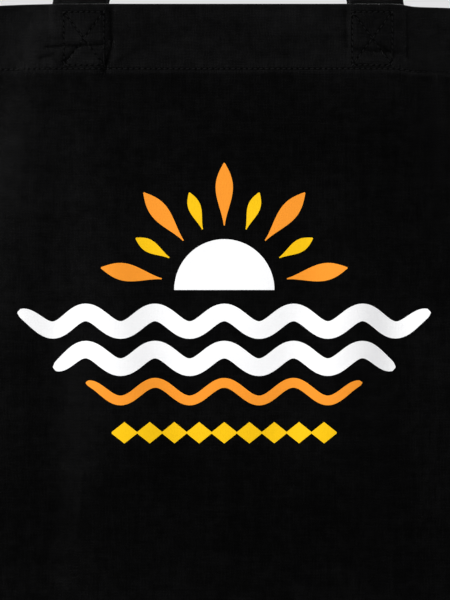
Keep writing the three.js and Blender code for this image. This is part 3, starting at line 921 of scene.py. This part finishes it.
# The seams
# Inside the bag the two panels' edges are sewn together and bound with an overlock stitch, which
# leaves a narrow double strip of canvas down each side and along the bottom.
FROM_SEAM = 1.2 * MM
STRIP_HALF_THICK = 0.75 * MM
STRIP_LEAST_HALF = 0.15 * MM  # where the panels leave it little room
STRIP_GAP = 0.1 * MM  # between the strip and each panel there
STRIP_WEAR = 0.3
STRIP_STEPS = 150
OVERLOCK_PITCH = 2.4 * MM
OVERLOCK_LENGTH = 5 * MM
OVERLOCK_SLANT = math.radians(80)
strip_top = HEM_DEPTH + 3 * MM
strip_low = BAG_HEIGHT - FROM_SEAM - ALLOWANCE
side_rim = BAG_WIDTH / 2 - FROM_SEAM
side_inner = side_rim - ALLOWANCE
bottom_rim = BAG_HEIGHT - FROM_SEAM
# each strip: its name, its node, the start and end of its outer edge, and those of its inner edge
SEAM_STRIPS = [
    ("left_seam_edge", "side_seam_left", (-side_rim, strip_low), (-side_rim, strip_top),
     (-side_inner, strip_low), (-side_inner, strip_top)),
    ("right_seam_edge", "side_seam_right", (side_rim, strip_top), (side_rim, strip_low),
     (side_inner, strip_top), (side_inner, strip_low)),
    ("bottom_seam_edge", "bottom_seam", (side_rim, bottom_rim), (-side_rim, bottom_rim),
     (side_rim, strip_low), (-side_rim, strip_low)),
]
overlock_lines = []
for name, node, rim_start, rim_end, inner_start, inner_end in SEAM_STRIPS:
    t = np.linspace(0, 1, STRIP_STEPS + 1)[:, None]
    rim, inner = lerp(np.array(rim_start), rim_end, t), lerp(np.array(inner_start), inner_end, t)
    place = lerp(rim[:, None], inner[:, None], np.linspace(0, 1, 5)[:, None])
    front, _ = on_cloth(FRONT, place[..., 0], place[..., 1], -CLOTH / 2)
    back, _ = on_cloth(BACK, place[..., 0], place[..., 1], -CLOTH / 2)
    half = np.abs(back - front)[..., 1:2] / 2 - STRIP_GAP
    half = np.clip(half, STRIP_LEAST_HALF, STRIP_HALF_THICK)
    faces_of_strip = [(front + back) / 2 + half * [0, side, 0] for side in (FRONT, BACK)]
    rings = np.concatenate([faces_of_strip[1], faces_of_strip[0][:, ::-1]], axis=1)
    flat = np.concatenate([place, place[:, ::-1]], axis=1)
    flat = np.concatenate([flat, 0 * flat[..., :1]], axis=-1)
    strip = tube_piece(name, rings, flat, STRIP_WEAR, CANVAS)
    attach(strip, "bag")
    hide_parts(node)
    for side, face in zip((FRONT, BACK), faces_of_strip):
        line = face[:, 3] + [0, side * 0.1 * MM, 0]
        overlock_lines.append((line, np.broadcast_to([0.0, side, 0.0], line.shape)))
overlock_stitch = {**LOCK_STITCH, "Pitch": OVERLOCK_PITCH, "Length": OVERLOCK_LENGTH, "Slant": OVERLOCK_SLANT}
overlock = sew("overlock_thread", overlock_lines, Seed=51, **overlock_stitch)
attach(overlock, "bag")

# The print
# White, orange and yellow inks were pressed through a screen onto the front: a sun with its rays over
# rows of waves, and a chain of diamonds below. The ink lies on the canvas as a thin film.
PRINT_DOWN = 153 * MM
PRINT_ACROSS = -2 * MM
FILM = 0.1 * MM
# the sizes of the printed shapes, in millimetres
SUN_RADIUS = 26
HORIZON = 7
RAYS = 9
RAY_START = 33
LONG_RAY = (65, 9)  # where it ends, and its width
SHORT_RAY = (53, 6.5)
WAVE_LENGTH = 36
WAVE_SWING = 4.5
DIAMONDS = 9
TIP = 0.3


def ink_material(name, colour):
    """Matt ink that fills the weave but still shows it."""
    material, tree, shader = start_material(name)
    flat = flat_place(tree)
    weave = woven(tree, flat, CANVAS_PITCH, 2.0)
    thin = tuple(0.93 * c for c in colour)
    tree.links.new(blend_colours(tree, weave["Shade"], (*thin, 1), (*colour, 1)), shader["Base Color"])
    tree.links.new(calc(tree, "MULTIPLY_ADD", noise(tree, flat, 90.0, 3.0), 0.2, 0.5), shader["Roughness"])
    shader["Specular IOR Level"].default_value = 0.12
    tree.links.new(bumped(tree, weave["Height"], 0.35, 0.1 * MM), shader["Normal"])
    return material


def band(lower, upper, steps, rows):
    """A printed shape between two edges, each a function of t from 0 to 1 that gives x and y."""
    t = np.linspace(0, 1, steps + 1)
    low = np.stack(lower(t), axis=-1)
    high = np.stack(upper(t), axis=-1)
    return lerp(low[:, None], high[:, None], np.linspace(0, 1, rows + 1)[None, :, None]) * MM


def sun():
    """Half a disc that stands on the horizon."""
    def edge(share):
        def line(t):
            x = -0.999 * SUN_RADIUS * np.cos(np.pi * t)
            return x, HORIZON + share * np.sqrt(SUN_RADIUS ** 2 - x ** 2)
        return line
    return band(edge(0), edge(1), 40, 16)


def ray(index):
    """One of the rays, long and short by turns."""
    end, width = SHORT_RAY if index % 2 else LONG_RAY
    angle = math.pi * (index + 0.5) / RAYS
    right, up = -math.cos(angle), math.sin(angle)

    def edge(side):
        def line(t):
            r = lerp(RAY_START, end, t)
            half = side * (TIP + (width / 2 - TIP) * np.sin(np.pi * t ** 1.4))
            return r * right - half * up, HORIZON + r * up + half * right
        return line
    return band(edge(-1), edge(1), 24, 6)


def wave(width, middle, thick):
    """A wavy line, equally thick all along, with round ends."""
    turns = 2 * np.pi / WAVE_LENGTH

    def edge(side):
        def line(t):
            x = (t - 0.5) * width
            half = side * (TIP + (thick / 2 - TIP) * np.sqrt(1 - np.abs(2 * t - 1) ** 16))
            slope = -WAVE_SWING * turns * np.sin(turns * x)
            level = np.sqrt(1 + slope ** 2)
            return x - half * slope / level, middle + WAVE_SWING * np.cos(turns * x) + half / level
        return line
    return band(edge(-1), edge(1), round(width / 1.2), 5)


def diamonds(width, height, middle, neck):
    """A chain of diamonds, joined at narrow necks."""
    def edge(side):
        def line(t):
            phase = np.abs(2 * ((t * DIAMONDS) % 1) - 1)
            return (t - 0.5) * DIAMONDS * width, middle + side * lerp(height, neck, phase) / 2
        return line
    return band(edge(-1), edge(1), 12 * DIAMONDS, 6)


shapes = {f"print_ray_{i + 1}": ray(i) for i in range(RAYS)}
shapes["print_sun"] = sun()
shapes["print_wave_1"] = wave(width=216, middle=-9, thick=9)
shapes["print_wave_2"] = wave(width=180, middle=-28, thick=9)
shapes["print_wave_3"] = wave(width=144, middle=-45, thick=5)
shapes["print_diamonds"] = diamonds(width=13, height=11, middle=-66, neck=0.8)
# each ink: its name, its colour, and what is printed with it
INKS = [
    ("white", (0.80, 0.80, 0.80), ["print_sun", "print_wave_1", "print_wave_2"]),
    ("orange", (0.79, 0.26, 0.018), ["print_wave_3"] + [f"print_ray_{i + 1}" for i in range(0, RAYS, 2)]),
    ("yellow", (0.79, 0.465, 0.001), ["print_diamonds"] + [f"print_ray_{i + 1}" for i in range(1, RAYS, 2)]),
]
for name, colour, nodes in INKS:
    material = ink_material(f"{name}_ink", colour)
    parts = []
    for node in nodes:
        across = PRINT_ACROSS + shapes[node][..., 0]
        down = PRINT_DOWN - shapes[node][..., 1]
        points, _ = on_cloth(FRONT, across, down, CLOTH / 2 + FILM)
        flat = np.stack([across, down, np.full_like(across, FRONT)], axis=-1)
        parts.append(sheet_piece(f"{name}_ink", points, flat, 0, material, turned=False))
    with bpy.context.temp_override(active_object=parts[0], selected_editable_objects=parts):
        bpy.ops.object.join()
    edged = bmesh.new()
    edged.from_mesh(parts[0].data)
    for edge in edged.edges:
        edge.smooth = not edge.is_boundary
    edged.to_mesh(parts[0].data)
    edged.free()
    thicken(parts[0], FILM, -1)
    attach(parts[0], "bag")
    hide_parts(*nodes)

# The studio
# A pale floor under the hanging bag, a wide soft light at the upper left, a weaker one behind at the
# right, an even pale surround, and a camera square to the print.
FLOOR_Z = -0.80
FLOOR_HALF = 200
VIEW_HEIGHT = 306.3 * MM
VIEW_CENTRE = (-1.6 * MM, TOP_Z - 151.2 * MM)
CAMERA_DISTANCE = 3.0
SENSOR = 36
HORIZON_SHADE = (0.76, 0.76, 0.77, 1)
UPPER_SHADE = (0.26, 0.26, 0.265, 1)
floor_mesh = bpy.data.meshes.new("floor")
corners = [(x * FLOOR_HALF, y * FLOOR_HALF, FLOOR_Z) for x, y in ((-1, -1), (1, -1), (1, 1), (-1, 1))]
floor_mesh.from_pydata(corners, [], [(0, 1, 2, 3)])
floor = bpy.data.objects.new("floor", floor_mesh)
bpy.context.scene.collection.objects.link(floor)
material, tree, shader = start_material("pale_floor")
grain = noise(tree, add(tree, "ShaderNodeTexCoord").outputs["Object"], 40.0, 3.0)
tree.links.new(blend_colours(tree, grain, grey(0.65), grey(0.68)), shader["Base Color"])
shader["Roughness"].default_value = 0.8
floor_mesh.materials.append(material)

scene = bpy.context.scene
scene.view_settings.view_transform = "Standard"
world = bpy.data.worlds.new("studio")
world.use_nodes = True
tree = world.node_tree
direction = add(tree, "ShaderNodeTexCoord").outputs["Generated"]
rise = add(tree, "ShaderNodeSeparateXYZ", {0: direction}).outputs[2]
inputs = {"Value": rise, "From Min": 0.0, "From Max": 0.5}
height = add(tree, "ShaderNodeMapRange", inputs, interpolation_type="SMOOTHSTEP").outputs[0]
shade = blend_colours(tree, height, HORIZON_SHADE, UPPER_SHADE)
tree.links.new(shade, tree.nodes["Background"].inputs["Color"])
scene.world = world
# each light: its name, the direction that it comes from, its strength, and how wide it is in degrees
for name, direction, strength, wide in (
    ("key_light", (-0.62, -0.55, 0.56), 4.0, 24),
    ("back_light", (0.6, 0.62, 0.5), 1.0, 40),
):
    light = bpy.data.objects.new(name, bpy.data.lights.new(name, "SUN"))
    light.data.energy = strength
    light.data.angle = math.radians(wide)
    light.rotation_euler = (-Vector(direction)).to_track_quat("-Z", "Y").to_euler()
    scene.collection.objects.link(light)
camera = bpy.data.objects.new("camera", bpy.data.cameras.new("camera"))
scene.collection.objects.link(camera)
scene.camera = camera
camera.data.sensor_width = SENSOR
camera.data.lens = SENSOR * CAMERA_DISTANCE / VIEW_HEIGHT
camera.location = (VIEW_CENTRE[0], -BELLY_DEPTH - CAMERA_DISTANCE, VIEW_CENTRE[1])
camera.rotation_euler = (math.pi / 2, 0, 0)
